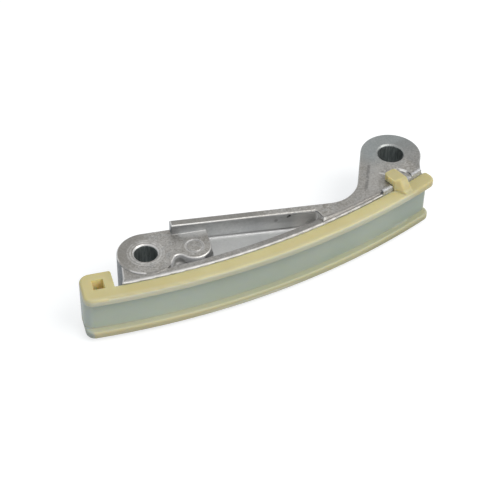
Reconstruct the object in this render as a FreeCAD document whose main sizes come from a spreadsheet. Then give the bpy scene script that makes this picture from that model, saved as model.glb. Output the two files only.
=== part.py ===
import FreeCAD, Part
import Sketcher
import math
import os

# Timing chain guide: a die-cast aluminium bracket with a moulded nylon shoe clipped on its front.
# Millimetres and degrees. The origin is on the axis of the left bolt hole, in the plane of the
# mounting faces. +X runs to the right bolt hole, -Y towards the chain and +Z up along the bolts.

SIZES = {
    # bolt bosses
    "hole_pitch": 108.7,
    "left_hole_radius": 4.25,
    "left_boss_radius": 10.6,
    "right_hole_radius": 5.0,
    "right_boss_radius": 11.7,
    "hole_chamfer": 0.6,
    # curved face that carries the shoe
    "face_centre_x": 61.0,
    "face_centre_y": 261.6,
    "face_radius": 281.0,
    "seat_gap": 0.1,
    "casting_start_x": -14.6,
    "casting_end_beyond_hole": 4.7,
    "toe_step_x": 1.6,
    "toe_step_y": 2.0,
    "waist_angle": 186.0,
    "boss_side_angle": -52.0,
    # heights of the casting
    "cast_lift": 0.5,
    "flange_height": 21.2,
    "plateau_step": 0.6,
    "arm_step": 1.3,
    "rail_rise": 3.6,
    "rail_slope_beyond": 5.2,
    "web_height": 17.7,
    "web_underside": 12.6,
    "floor_slope_start_x": 20.0,
    "floor_drop": 2.9,
    "floor_round": 1.2,
    # walls of the casting
    "back_edge_angle": 18.0,
    "arm_edge_angle": 52.0,
    "arm_inner_radius": 15.0,
    "front_wall": 3.2,
    "rail_wall": 3.3,
    "rail_start": 10.9,
    "arm_start_x": 65.2,
    "arm_setback": 1.2,
    "pocket_corner": 1.5,
    # lug with the ejector mark beside the left boss
    "lug_x": 17.0,
    "lug_y": -5.8,
    "lug_radius": 6.2,
    "lug_valley": 2.2,
    "ejector_radius": 3.3,
    "ejector_line": 0.5,
    "ejector_depth": 0.2,
    # edges of the casting
    "casting_round": 0.6,
    "plateau_chamfer": 0.4,
    "outer_round": 0.6,
    # nylon shoe
    "shoe_bottom": 1.3,
    "shoe_top": 20.5,
    "track_wall": 3.0,
    "rim_depth": 2.8,
    "rim_width": 3.1,
    "rim_round": 1.1,
    "ledge_round": 0.9,
    "shoe_end_beyond_hole": 6.9,
    "track_end_setback": 1.4,
    "lower_rim_setback": 1.3,
    "track_nose_radius": 2.2,
    "nose_front_radius": 3.4,
    "nose_back_radius": 2.3,
    # hook block at the left end of the shoe
    "hook_gap": 2.6,
    "hook_width": 11.9,
    "hook_depth": 9.0,
    "hook_front_radius": 3.5,
    "hook_outer_radius": 4.0,
    "hook_inner_radius": 1.8,
    "core_inset": 3.4,
    "core_width": 4.2,
    "core_depth": 4.8,
    "core_start": 0.2,
    "core_floor": 2.5,
    # tongue of the casting in the slot of the hook block
    "tongue_low": 6.5,
    "tongue_high": 14.0,
    "tongue_start": 0.6,
    "tongue_thickness": 3.2,
    "tongue_reach": 2.2,
    "slot_gap": 0.2,
    # clip fingers
    "finger_before_hole": 7.9,
    "finger_width": 5.5,
    "finger_thickness": 2.6,
    "finger_reach": 6.0,
    "finger_gap": 0.1,
    "ramp_length": 4.7,
    "ramp_ridge": 2.1,
    "ramp_toe": 1.2,
    "finger_tip_radius": 1.5,
    "finger_round": 0.4,
    "notch_gap": 0.3,
    # lips and round seat of the casting at the upper finger
    "lip_gap": 0.4,
    "lip_length": 4.8,
    "lip_width": 1.8,
    "lip_height": 0.4,
    "lip_chamfer": 0.3,
    "seat_shift": 2.0,
    "seat_y": -13.5,
    "seat_radius": 5.1,
    "seat_depth": 0.3,
}

DATUM = FreeCAD.Vector(0, 0, 1)
PLATEAU_TOP = "(dims.flange_height + dims.plateau_step)"
ARM_TOP = "(dims.flange_height + dims.arm_step)"
RAIL_TOP = "(dims.flange_height + dims.arm_step + dims.rail_rise)"


def value(name):
    return SIZES[name]


def fill_sheet(doc):
    """One row for each driving dimension, with the dimension's name as the alias."""
    sheet = doc.addObject("Spreadsheet::Sheet", "dims")
    for row, (alias, size) in enumerate(SIZES.items(), start=1):
        sheet.set(f"A{row}", alias)
        sheet.set(f"B{row}", str(size))
        sheet.setAlias(f"B{row}", alias)
    doc.recompute()
    return sheet


# Plane geometry shared by the outlines

def polar(centre, radius, degrees):
    angle = math.radians(degrees)
    return (centre[0] + radius * math.cos(angle), centre[1] + radius * math.sin(angle))


def line(start, end):
    return Part.LineSegment(FreeCAD.Vector(*start, 0), FreeCAD.Vector(*end, 0))


def arc(centre, radius, start, stop):
    """Arc run anticlockwise from one angle to another, in degrees."""
    circle = Part.Circle(FreeCAD.Vector(*centre, 0), DATUM, radius)
    return Part.ArcOfCircle(circle, math.radians(start), math.radians(stop))


def flat(point):
    return (point.x, point.y)


def direction(start, end):
    return math.degrees(math.atan2(end[1] - start[1], end[0] - start[0]))


def arc_between(centre, radius, one, two):
    """Shorter arc about a centre between the directions of two points."""
    first = direction(centre, one)
    last = direction(centre, two)
    if (last - first) % 360 > 180:
        first, last = last, first
    return arc(centre, radius, first, first + (last - first) % 360)


def rounded(before, corner, after, radius):
    """Tangent point, arc and second tangent point of a corner between two straight sides."""
    one = direction(corner, before)
    two = direction(corner, after)
    half = ((two - one + 180) % 360 - 180) / 2
    tangent = radius / math.tan(math.radians(abs(half)))
    start = polar(corner, tangent, one)
    end = polar(corner, tangent, two)
    centre = polar(corner, radius / math.sin(math.radians(abs(half))), one + half)
    return start, arc_between(centre, radius, start, end), end


def face_centre():
    return (value("face_centre_x"), value("face_centre_y"))


def face_angle(x, radius):
    """Angle at the centre of the curved face of the point at x on a circle of this radius."""
    return math.degrees(math.asin((x - value("face_centre_x")) / radius)) - 90


def face_point(radius, degrees):
    return polar(face_centre(), radius, degrees)


def sector(radius, one, two):
    """Arc of this radius about the centre of the curved face between two points."""
    return arc_between(face_centre(), radius, one, two)


def casting_face():
    return value("face_radius") - value("seat_gap")


def plateau_height():
    return value("flange_height") + value("plateau_step")


def arm_height():
    return value("flange_height") + value("arm_step")


def rail_height():
    return arm_height() + value("rail_rise")


def casting_end_x():
    return value("hole_pitch") + value("casting_end_beyond_hole")


def right_hole():
    return (value("hole_pitch"), 0)


def back_normal():
    """Direction, in degrees, square to the straight back edge, which is tangent to the left boss."""
    return 90 - value("back_edge_angle")


def back_point(along, inward=0):
    """Point at a distance along the back edge from its tangent point, and inward from it."""
    touch = polar((0, 0), value("left_boss_radius") - inward, back_normal())
    return polar(touch, along, -value("back_edge_angle"))


def arm_corner():
    """Where the back edge would meet the arm's inner edge, which is tangent to the right boss."""
    touch = arm_touch()
    back = math.radians(back_normal())
    arm = math.radians(value("arm_edge_angle"))
    offset = value("left_boss_radius") - touch[0] * math.cos(back) - touch[1] * math.sin(back)
    along = offset / (math.cos(arm) * math.cos(back) + math.sin(arm) * math.sin(back))
    return polar(touch, along, value("arm_edge_angle"))


def arm_touch():
    return polar(right_hole(), value("right_boss_radius"), value("arm_edge_angle") + 90)


def arm_bend():
    """Centre and tangent points of the large concave arc between the back edge and the arm."""
    corner = arm_corner()
    turn = (value("back_edge_angle") + value("arm_edge_angle")) / 2
    tangent = value("arm_inner_radius") * math.tan(math.radians(turn))
    on_back = polar(corner, tangent, 180 - value("back_edge_angle"))
    on_arm = polar(corner, tangent, value("arm_edge_angle"))
    centre = polar(on_back, value("arm_inner_radius"), back_normal())
    return centre, on_back, on_arm


# Sketches

def start_sketch(body, name, plane="XY_Plane", offset=None):
    sketch = body.newObject("Sketcher::SketchObject", name)
    role = next(item for item in body.Origin.OriginFeatures if item.Role == plane)
    sketch.AttachmentSupport = [(role, "")]
    sketch.MapMode = "FlatFace"
    if offset is not None:
        sketch.setExpression(".AttachmentOffset.Base.z", offset)
    return sketch


def ends_of(piece):
    return {1: piece.StartPoint, 2: piece.EndPoint}


def join(sketch, first, second, pieces):
    """Make two neighbouring pieces of an outline share their common end."""
    pairs = [
        (one, two)
        for one, here in ends_of(pieces[first]).items()
        for two, there in ends_of(pieces[second]).items()
        if here.distanceToPoint(there) < 1e-4
    ]
    if not pairs:
        raise ValueError(f"{sketch.Label}: pieces {first} and {second} don't meet")
    one, two = pairs[0]
    sketch.addConstraint(Sketcher.Constraint("Coincident", first, one, second, two))


def draw_outline(sketch, pieces, radii=None):
    """Draw a closed outline, join its ends and tie the named radii to the sheet."""
    for piece in pieces:
        sketch.addGeometry(piece, False)
    for index in range(len(pieces)):
        join(sketch, index, (index + 1) % len(pieces), pieces)
    for index, expression in (radii or {}).items():
        number = sketch.addConstraint(Sketcher.Constraint("Radius", index, pieces[index].Radius))
        sketch.setExpression(f"Constraints[{number}]", expression)
    return sketch


def draw_circle(sketch, centre, radius_name, centre_x=None, inset=None):
    """Draw a circle whose radius, and place along X where given, are tied to the sheet."""
    radius = value(radius_name) - (value(inset) if inset else 0)
    circle = Part.Circle(FreeCAD.Vector(*centre, 0), DATUM, radius)
    index = sketch.addGeometry(circle, False)
    number = sketch.addConstraint(Sketcher.Constraint("Radius", index, radius))
    expression = f"dims.{radius_name} - dims.{inset}" if inset else f"dims.{radius_name}"
    sketch.setExpression(f"Constraints[{number}]", expression)
    if centre_x is not None:
        number = sketch.addConstraint(Sketcher.Constraint("DistanceX", -1, 1, index, 3, centre[0]))
        sketch.setExpression(f"Constraints[{number}]", centre_x)
    return sketch


def polygon(points):
    return [line(points[i], points[(i + 1) % len(points)]) for i in range(len(points))]


# Features

def pad(body, name, sketch, length):
    feature = body.newObject("PartDesign::Pad", name)
    feature.Profile = sketch
    feature.setExpression("Length", length)
    sketch.Visibility = False
    body.Document.recompute()
    return feature


def pocket(body, name, sketch, length=None, both_ways=False, upward=False):
    before = body.Tip.Shape.Volume
    feature = body.newObject("PartDesign::Pocket", name)
    feature.Profile = sketch
    if length is None:
        feature.Type = "ThroughAll"
    else:
        feature.setExpression("Length", length)
    if both_ways:
        feature.SideType = "Symmetric"
    feature.Reversed = upward
    sketch.Visibility = False
    body.Document.recompute()
    if feature.Shape.Volume > before - 0.01:
        raise ValueError(f"{name} cuts nothing")
    return feature


def dress(body, kind, name, size, size_name, test):
    """Fillet or chamfer every edge of the body so far that passes the test."""
    base = body.Tip
    names = [f"Edge{i}" for i, edge in enumerate(base.Shape.Edges, start=1) if test(edge)]
    if not names:
        raise ValueError(f"{name} finds no edge")
    feature = body.newObject(f"PartDesign::{kind}", name)
    feature.Base = (base, names)
    feature.setExpression(size, f"dims.{size_name}")
    body.Document.recompute()
    if "Invalid" in feature.State or not feature.Shape.isValid():
        raise ValueError(f"{name} fails on {len(names)} edges")
    return feature


def at_height(edge, height):
    box = edge.BoundBox
    return abs(box.ZMin - height) < 1e-4 and abs(box.ZMax - height) < 1e-4


def distance_from(edge, centre):
    """Shortest and longest distance of an edge's ends and middle from an upright axis."""
    first, last = edge.ParameterRange
    points = [edge.valueAt(first + (last - first) * share) for share in (0, 0.5, 1)]
    spans = [math.hypot(point.x - centre[0], point.y - centre[1]) for point in points]
    return min(spans), max(spans)


def middle_of(edge):
    first, last = edge.ParameterRange
    return edge.valueAt((first + last) / 2)


# Outlines of the casting

def front_arc(radius, start_x, stop_x):
    return arc(face_centre(), radius, face_angle(start_x, radius), face_angle(stop_x, radius))


def right_side(front_radius):
    """Side of the casting from its front corner round the right boss to the back edge."""
    corner = face_point(front_radius, face_angle(casting_end_x(), front_radius))
    meet = polar(right_hole(), value("right_boss_radius"), value("boss_side_angle"))
    arm_angle = value("arm_edge_angle")
    centre, on_back, on_arm = arm_bend()
    return [
        line(corner, meet),
        arc(right_hole(), value("right_boss_radius"), value("boss_side_angle"), arm_angle + 90),
        line(arm_touch(), on_arm),
        arc(centre, value("arm_inner_radius"), back_normal() + 180, arm_angle + 270),
    ]


def toe_points():
    """Left end of the casting: a step out from the boss to the front corner."""
    corner = face_point(casting_face(), face_angle(value("casting_start_x"), casting_face()))
    shoulder = (corner[0] + value("toe_step_x"), corner[1] + value("toe_step_y"))
    waist = polar((0, 0), value("left_boss_radius"), value("waist_angle"))
    return waist, shoulder, corner


def web_outline():
    """Plan of the web: front arc, right side, back edge, left boss and toe."""
    waist, shoulder, corner = toe_points()
    on_back = arm_bend()[1]
    front = front_arc(casting_face(), value("casting_start_x"), casting_end_x())
    left = [
        line(on_back, back_point(0)),
        arc((0, 0), value("left_boss_radius"), back_normal(), value("waist_angle")),
        line(waist, shoulder),
        line(shoulder, corner),
    ]
    return [front] + right_side(casting_face()) + left


def flange_outline():
    """Plan of the front wall, with the toe at its left end and its root under the left boss."""
    waist, shoulder, corner = toe_points()
    outer = front_arc(casting_face(), value("casting_start_x"), casting_end_x())
    inner = front_arc(casting_face() - value("front_wall"), 0, casting_end_x() - 1)
    return [
        outer,
        line(flat(outer.EndPoint), flat(inner.EndPoint)),
        inner,
        line(flat(inner.StartPoint), (0, 0)),
        line((0, 0), waist),
        line(waist, shoulder),
        line(shoulder, corner),
    ]


def plateau_outline():
    """Plan of the left boss and lug, joined by a concave valley and closed along the back edge."""
    boss = value("left_boss_radius")
    lug = (value("lug_x"), value("lug_y"))
    valley = value("lug_valley")
    reach = math.hypot(*lug)
    to_boss = boss + valley
    to_lug = value("lug_radius") + valley
    cosine = (reach**2 + to_boss**2 - to_lug**2) / (2 * reach * to_boss)
    bearing = math.degrees(math.atan2(lug[1], lug[0]) - math.acos(cosine))
    centre = polar((0, 0), to_boss, bearing)
    to_centre = direction(lug, centre)
    side_start = polar(lug, value("lug_radius"), -value("back_edge_angle"))
    square = math.radians(back_normal())
    height = boss - side_start[0] * math.cos(square) - side_start[1] * math.sin(square)
    side_end = polar(side_start, height, back_normal())
    return [
        arc((0, 0), boss, back_normal(), bearing + 360),
        arc(centre, valley, to_centre + 180, bearing + 180),
        arc(lug, value("lug_radius"), to_centre, -value("back_edge_angle")),
        line(side_start, side_end),
        line(side_end, back_point(0)),
    ]


def arm_outline():
    """Plan of rail, arm and right boss, set back from the front flange, round the pocket's end."""
    front = casting_face() - value("arm_setback")
    on_back = arm_bend()[1]
    start = value("rail_start")
    wall = value("rail_wall")
    rail_corner = back_point(start, wall)
    pocket_end = value("arm_start_x")
    run = (pocket_end - rail_corner[0]) / math.cos(math.radians(value("back_edge_angle")))
    inner_corner = back_point(start + run, wall)
    face = front_arc(front, pocket_end, casting_end_x())
    turn = rounded(rail_corner, inner_corner, flat(face.StartPoint), value("pocket_corner"))
    return (
        [face]
        + right_side(front)
        + [
            line(on_back, back_point(start)),
            line(back_point(start), rail_corner),
            line(rail_corner, turn[0]),
            turn[1],
            line(turn[2], flat(face.StartPoint)),
        ]
    )


# Casting

def rail_slope_end():
    """Where the rail's falling top becomes level, a little beyond the start of the arm's bend."""
    return arm_bend()[1][0] + value("rail_slope_beyond")


def slope_cut(body, name, start, end, top):
    """Remove what stands above a line from one (x, z) point to another, level beyond its end."""
    far = value("hole_pitch") + 2 * value("right_boss_radius")
    rise = (start[1] - end[1]) / (end[0] - start[0])
    early = start[0] - value("left_boss_radius")
    first = (early, start[1] + rise * value("left_boss_radius"))
    sketch = start_sketch(body, f"{name}_profile", "XZ_Plane")
    draw_outline(sketch, polygon([first, end, (far, end[1]), (far, top), (early, top)]))
    return pocket(body, name, sketch, both_ways=True)


def add_web(body):
    sketch = start_sketch(body, "web_outline", offset="dims.web_underside")
    radii = {0: "dims.face_radius - dims.seat_gap", 2: "dims.right_boss_radius"}
    draw_outline(sketch, web_outline(), radii)
    pad(body, "web", sketch, "dims.web_height - dims.web_underside")
    start = (value("floor_slope_start_x"), value("web_height"))
    end = (value("arm_start_x"), value("web_height") - value("floor_drop"))
    slope_cut(body, "floor_slope", start, end, rail_height())


def add_flange(body):
    sketch = start_sketch(body, "flange_outline", offset="dims.cast_lift")
    radii = {
        0: "dims.face_radius - dims.seat_gap",
        2: "dims.face_radius - dims.seat_gap - dims.front_wall",
    }
    draw_outline(sketch, flange_outline(), radii)
    pad(body, "flange", sketch, "dims.flange_height - dims.cast_lift")
    height = value("flange_height")
    dress(body, "Fillet", "flange_edge", "Radius", "casting_round", lambda e: at_height(e, height))


def add_plateau(body):
    sketch = start_sketch(body, "plateau_outline", offset="dims.cast_lift")
    radii = {0: "dims.left_boss_radius", 1: "dims.lug_valley", 2: "dims.lug_radius"}
    draw_outline(sketch, plateau_outline(), radii)
    pad(body, "plateau", sketch, f"{PLATEAU_TOP} - dims.cast_lift")
    height = plateau_height()
    dress(body, "Chamfer", "plateau_edge", "Size", "plateau_chamfer", lambda e: at_height(e, height))


def add_arm(body):
    sketch = start_sketch(body, "arm_outline", offset="dims.cast_lift")
    radii = {0: "dims.face_radius - dims.seat_gap - dims.arm_setback", 2: "dims.right_boss_radius"}
    draw_outline(sketch, arm_outline(), radii)
    pad(body, "arm", sketch, f"{RAIL_TOP} + dims.rail_wall - dims.cast_lift")
    start = (back_point(value("rail_start"))[0], rail_height())
    end = (rail_slope_end(), arm_height())
    slope_cut(body, "rail_slope", start, end, 2 * rail_height())


def on_arm_top(edge):
    """Edges round the top of the rail, the arm and the right boss, but not across the slope's end."""
    middle = middle_of(edge)
    box = edge.BoundBox
    level = box.ZMax - box.ZMin < rail_height() - arm_height() + 0.1
    crease = box.XLength < 1e-3 and abs(middle.x - rail_slope_end()) < 1e-3
    return middle.z > arm_height() - 1e-3 and level and box.DiagonalLength > 1 and not crease


def round_arm(body):
    dress(body, "Fillet", "arm_edge", "Radius", "outer_round", on_arm_top)


def floor_height(x):
    """Height of the pocket's sloping floor at x."""
    run = value("arm_start_x") - value("floor_slope_start_x")
    return value("web_height") - value("floor_drop") * (x - value("floor_slope_start_x")) / run


def on_pocket_floor(edge):
    """Edges of the sloping floor along the rail's wall, the pocket's end and the lug's side."""
    first, last = edge.ParameterRange
    points = [edge.valueAt(first + (last - first) * share) for share in (0, 0.5, 1)]
    sloped = all(abs(point.z - floor_height(point.x)) < 1e-3 for point in points)
    beyond_lug = points[1].x > value("lug_x") + value("lug_radius")
    flange = casting_face() - value("front_wall")
    on_flange = abs(math.dist((points[1].x, points[1].y), face_centre()) - flange) < 1e-3
    return sloped and beyond_lug and not on_flange


def round_floor(body):
    dress(body, "Fillet", "floor_edge", "Radius", "floor_round", on_pocket_floor)


def add_bosses(body):
    """Feet of the bosses, which stand a little below the rest of the casting."""
    sketch = start_sketch(body, "left_boss_circle")
    draw_circle(sketch, (0, 0), "left_boss_radius")
    pad(body, "left_boss", sketch, "dims.web_underside")
    sketch = start_sketch(body, "right_boss_circle")
    draw_circle(sketch, right_hole(), "right_boss_radius", "dims.hole_pitch")
    pad(body, "right_boss", sketch, "dims.web_underside")


def hole_rim(centre, radius):
    """Test for the edges where a hole breaks out at the top and the bottom."""

    def test(edge):
        near, far = distance_from(edge, centre)
        box = edge.BoundBox
        return abs(near - radius) < 1e-3 and abs(far - radius) < 1e-3 and box.ZLength < 1e-3

    return test


def add_holes(body):
    sketch = start_sketch(body, "left_hole_circle")
    draw_circle(sketch, (0, 0), "left_hole_radius")
    pocket(body, "left_hole", sketch, upward=True)
    sketch = start_sketch(body, "right_hole_circle")
    draw_circle(sketch, right_hole(), "right_hole_radius", "dims.hole_pitch")
    pocket(body, "right_hole", sketch, upward=True)
    left = hole_rim((0, 0), value("left_hole_radius"))
    dress(body, "Chamfer", "left_hole_chamfer", "Size", "hole_chamfer", left)
    right = hole_rim(right_hole(), value("right_hole_radius"))
    dress(body, "Chamfer", "right_hole_chamfer", "Size", "hole_chamfer", right)


def lip_outline(start_x, end_x):
    """Plan of a raised lip on the flange beside the clip finger."""
    outer = front_arc(casting_face(), start_x, end_x)
    inner = front_arc(casting_face() - value("lip_width"), start_x, end_x)
    return [
        outer,
        line(flat(outer.EndPoint), flat(inner.EndPoint)),
        inner,
        line(flat(inner.StartPoint), flat(outer.StartPoint)),
    ]


def add_lips(body):
    """Two lips stand up beside the clip finger and keep it in its place along the arc."""
    half = value("finger_width") / 2 + value("lip_gap")
    left_end = finger_x() - half
    spans = {
        "left_lip": (left_end - value("lip_length"), left_end),
        "right_lip": (finger_x() + half, casting_end_x() - value("casting_round")),
    }
    for name, (start_x, end_x) in spans.items():
        sketch = start_sketch(body, f"{name}_outline", offset="dims.web_height")
        radii = {
            0: "dims.face_radius - dims.seat_gap",
            2: "dims.face_radius - dims.seat_gap - dims.lip_width",
        }
        draw_outline(sketch, lip_outline(start_x, end_x), radii)
        pad(body, name, sketch, f"{ARM_TOP} + dims.lip_height - dims.web_height")
    height = arm_height() + value("lip_height")
    dress(body, "Chamfer", "lip_edge", "Size", "lip_chamfer", lambda e: at_height(e, height))


def add_marks(body):
    """Ejector marks: a ring on the lug and a shallow round seat under the clip finger."""
    sketch = start_sketch(body, "ejector_ring", offset=PLATEAU_TOP)
    lug = (value("lug_x"), value("lug_y"))
    draw_circle(sketch, lug, "ejector_radius", "dims.lug_x")
    draw_circle(sketch, lug, "ejector_radius", "dims.lug_x", inset="ejector_line")
    pocket(body, "ejector_groove", sketch, "dims.ejector_depth")
    seat = (finger_x() + value("seat_shift"), value("seat_y"))
    sketch = start_sketch(body, "finger_seat_circle", offset=f"{ARM_TOP} + dims.lip_height")
    draw_circle(sketch, seat, "seat_radius", "dims.hole_pitch - dims.finger_before_hole + dims.seat_shift")
    pocket(body, "finger_seat", sketch, "dims.lip_height + dims.seat_depth")


def add_tongue(body):
    """Tongue on the toe that enters the hook block of the shoe."""
    sketch = start_sketch(body, "tongue_outline", offset="dims.tongue_low")
    near = value("face_radius") - value("tongue_start")
    far = near - value("tongue_thickness")
    root = -value("hook_gap") - value("tongue_thickness")
    tip = value("tongue_reach")
    corners = [hook_point(root, near), hook_point(tip, near), hook_point(tip, far), hook_point(root, far)]
    draw_outline(sketch, polygon(corners))
    pad(body, "tongue", sketch, "dims.tongue_high - dims.tongue_low")


def add_notch(body):
    """Notch in the underside for the lower clip finger."""
    sketch = start_sketch(body, "notch_outline")
    half = value("finger_width") / 2 + value("notch_gap")
    far = value("face_radius") - value("finger_reach") - value("notch_gap")
    near = value("face_radius") + 1
    corners = [finger_point(-half, near), finger_point(half, near)]
    corners += [finger_point(half, far), finger_point(-half, far)]
    draw_outline(sketch, polygon(corners))
    height = "dims.shoe_bottom + dims.finger_thickness + dims.notch_gap"
    pocket(body, "finger_notch", sketch, height, upward=True)


def build_bracket(doc):
    body = doc.addObject("PartDesign::Body", "cast_bracket")
    add_web(body)
    add_flange(body)
    add_plateau(body)
    add_arm(body)
    round_arm(body)
    round_floor(body)
    add_bosses(body)
    add_lips(body)
    add_marks(body)
    add_holes(body)
    add_tongue(body)
    add_notch(body)
    return body


# Outlines of the shoe

def hook_angle():
    """Angle of the hook block's right face, which stands off the toe of the casting."""
    toe = face_angle(value("casting_start_x"), casting_face())
    return toe - math.degrees(value("hook_gap") / value("face_radius"))


def hook_point(leftward, outward):
    """Point left of the hook block's right face, at a distance out from the arcs' centre."""
    foot = polar(face_centre(), outward, hook_angle())
    return polar(foot, leftward, hook_angle() - 90)


def finger_x():
    return value("hole_pitch") - value("finger_before_hole")


def finger_angle():
    return face_angle(finger_x(), value("face_radius"))


def finger_point(rightward, outward):
    """Point right of the clip fingers' middle, at a distance out from the arcs' centre."""
    foot = polar(face_centre(), outward, finger_angle())
    return polar(foot, rightward, finger_angle() + 90)


def left_corner(outer):
    """Tangent points and arc of the rounded corner between an outer arc and the left face."""
    radius = value("hook_front_radius")
    leftward = value("hook_width") - radius
    outward = math.sqrt((outer - radius) ** 2 - leftward**2)
    centre = hook_point(leftward, outward)
    on_face = hook_point(value("hook_width"), outward)
    on_arc = polar(face_centre(), outer, direction(face_centre(), centre))
    return on_arc, arc_between(centre, radius, on_arc, on_face), on_face


def nose(outer, end_angle, radius):
    """Right end of the shoe: a rounded front corner and a straight end along a radius."""
    turn = math.degrees(math.asin(radius / (outer - radius)))
    centre = polar(face_centre(), outer - radius, end_angle - turn)
    start = polar(face_centre(), outer, end_angle - turn)
    end = polar(face_centre(), math.sqrt((outer - radius) ** 2 - radius**2), end_angle)
    corner = polar(face_centre(), value("face_radius"), end_angle)
    return start, [arc_between(centre, radius, start, end), line(end, corner)], corner


def nose_back_corner(end_angle):
    """Sliver outside the rounded back corner of a rim's nose."""
    inner = value("face_radius")
    radius = value("nose_back_radius")
    turn = math.degrees(math.asin(radius / (inner + radius)))
    centre = polar(face_centre(), inner + radius, end_angle - turn)
    on_face = polar(face_centre(), inner, end_angle - turn)
    on_end = polar(face_centre(), math.sqrt((inner + radius) ** 2 - radius**2), end_angle)
    return cleared_corner(on_face, polar(face_centre(), inner, end_angle), on_end, centre, radius)


def cleared_corner(one, corner, two, centre, radius):
    """Outline round the outside of a convex corner, up to the arc that rounds it."""
    out_one = polar(one, radius, direction(centre, one))
    out_two = polar(two, radius, direction(centre, two))
    out_corner = polar(corner, 2 * radius, direction(centre, corner))
    return [
        arc_between(centre, radius, one, two),
        line(two, out_two),
        line(out_two, out_corner),
        line(out_corner, out_one),
        line(out_one, one),
    ]


def shoe_end_angle(setback=0):
    end_x = value("hole_pitch") + value("shoe_end_beyond_hole")
    angle = face_angle(end_x, value("face_radius"))
    return angle - math.degrees(setback / value("face_radius"))


def hook_back():
    return value("face_radius") - value("hook_depth")


def track_outline():
    """Plan of the track wall and the hook block at its left end."""
    inner = value("face_radius")
    outer = inner + value("track_wall")
    width = value("hook_width")
    on_arc, corner, on_face = left_corner(outer)
    end_angle = shoe_end_angle(value("track_end_setback"))
    nose_start, nose_pieces, nose_end = nose(outer, end_angle, value("track_nose_radius"))
    root = hook_point(0, inner)
    back = hook_point(0, hook_back())
    turn = rounded(on_face, hook_point(width, hook_back()), back, value("hook_outer_radius"))
    return (
        [sector(outer, on_arc, nose_start)]
        + nose_pieces
        + [
            sector(inner, root, nose_end),
            line(root, back),
            line(back, turn[2]),
            turn[1],
            line(turn[0], on_face),
            corner,
        ]
    )


def hook_back_corner():
    """Sliver outside the rounded back corner of the hook block's right face."""
    radius = value("hook_inner_radius")
    corner = hook_point(0, hook_back())
    on_back = hook_point(radius, hook_back())
    on_face = hook_point(0, hook_back() + radius)
    centre = hook_point(radius, hook_back() + radius)
    return cleared_corner(on_back, corner, on_face, centre, radius)


def rim_outline(setback):
    """Plan of a rim: from the hook block's left face along the arc to its rounded nose."""
    inner = value("face_radius")
    outer = inner + value("track_wall") + value("rim_depth")
    width = value("hook_width")
    on_arc, corner, on_face = left_corner(outer)
    nose_start, nose_pieces, nose_end = nose(outer, shoe_end_angle(setback), value("nose_front_radius"))
    root = hook_point(0, inner)
    within_hook = hook_point(width, (inner + hook_back()) / 2)
    return (
        [sector(outer, on_arc, nose_start)]
        + nose_pieces
        + [sector(inner, root, nose_end), line(root, within_hook), line(within_hook, on_face), corner]
    )


# Shoe

def add_track(body):
    sketch = start_sketch(body, "track_outline", offset="dims.shoe_bottom")
    radii = {
        0: "dims.face_radius + dims.track_wall",
        1: "dims.track_nose_radius",
        3: "dims.face_radius",
        6: "dims.hook_outer_radius",
        8: "dims.hook_front_radius",
    }
    draw_outline(sketch, track_outline(), radii)
    pad(body, "track", sketch, "dims.shoe_top - dims.shoe_bottom")


def add_rims(body):
    radii = {
        0: "dims.face_radius + dims.track_wall + dims.rim_depth",
        1: "dims.nose_front_radius",
        3: "dims.face_radius",
        6: "dims.hook_front_radius",
    }
    sketch = start_sketch(body, "lower_rim_outline", offset="dims.shoe_bottom")
    draw_outline(sketch, rim_outline(value("lower_rim_setback")), radii)
    pad(body, "lower_rim", sketch, "dims.rim_width")
    sketch = start_sketch(body, "upper_rim_outline", offset="dims.shoe_top - dims.rim_width")
    draw_outline(sketch, rim_outline(0), radii)
    pad(body, "upper_rim", sketch, "dims.rim_width")


def add_core_hole(body):
    """Square moulding core down into the hook block."""
    near = value("face_radius") - value("core_start")
    far = near - value("core_depth")
    start = value("core_inset")
    end = start + value("core_width")
    sketch = start_sketch(body, "core_outline", offset="dims.core_floor")
    corners = [hook_point(start, near), hook_point(end, near), hook_point(end, far), hook_point(start, far)]
    draw_outline(sketch, polygon(corners))
    pocket(body, "core_hole", sketch, "dims.shoe_top - dims.core_floor", upward=True)


def add_slot(body):
    """Slot in the hook block's right face for the tongue of the casting."""
    gap = value("slot_gap")
    near = value("face_radius") - value("tongue_start") + gap
    far = near - value("tongue_thickness") - 2 * gap
    end = value("tongue_reach") + gap
    sketch = start_sketch(body, "slot_outline", offset="dims.tongue_low - dims.slot_gap")
    corners = [hook_point(-1, near), hook_point(end, near), hook_point(end, far), hook_point(-1, far)]
    draw_outline(sketch, polygon(corners))
    height = "dims.tongue_high - dims.tongue_low + 2 * dims.slot_gap"
    pocket(body, "tongue_slot", sketch, height, upward=True)


def on_shoe_rim(edge):
    """Edges round the outside of the shoe's top and bottom, but not along the casting."""
    near, far = distance_from(edge, face_centre())
    level = at_height(edge, value("shoe_bottom")) or at_height(edge, value("shoe_top"))
    inner = abs(near - value("face_radius")) < 1e-3 and abs(far - value("face_radius")) < 1e-3
    middle = middle_of(edge)
    leftward = math.dist((middle.x, middle.y), hook_point(0, (hook_back() + value("face_radius")) / 2))
    return level and not inner and leftward > 1e-3


def on_track_ledge(edge):
    """Edges of the rims on the track's side, but not along the shoe's inner face."""
    outer = value("face_radius") + value("track_wall") + value("rim_depth")
    near, far = distance_from(edge, face_centre())
    low = at_height(edge, value("shoe_bottom") + value("rim_width"))
    high = at_height(edge, value("shoe_top") - value("rim_width"))
    return (low or high) and far > outer - value("nose_front_radius")


def round_ledges(body):
    """Round the rims on the track's side before the track and the hook block join them."""
    dress(body, "Fillet", "ledge_edge", "Radius", "ledge_round", on_track_ledge)


def round_shoe(body):
    dress(body, "Fillet", "rim_edge", "Radius", "rim_round", on_shoe_rim)


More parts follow.
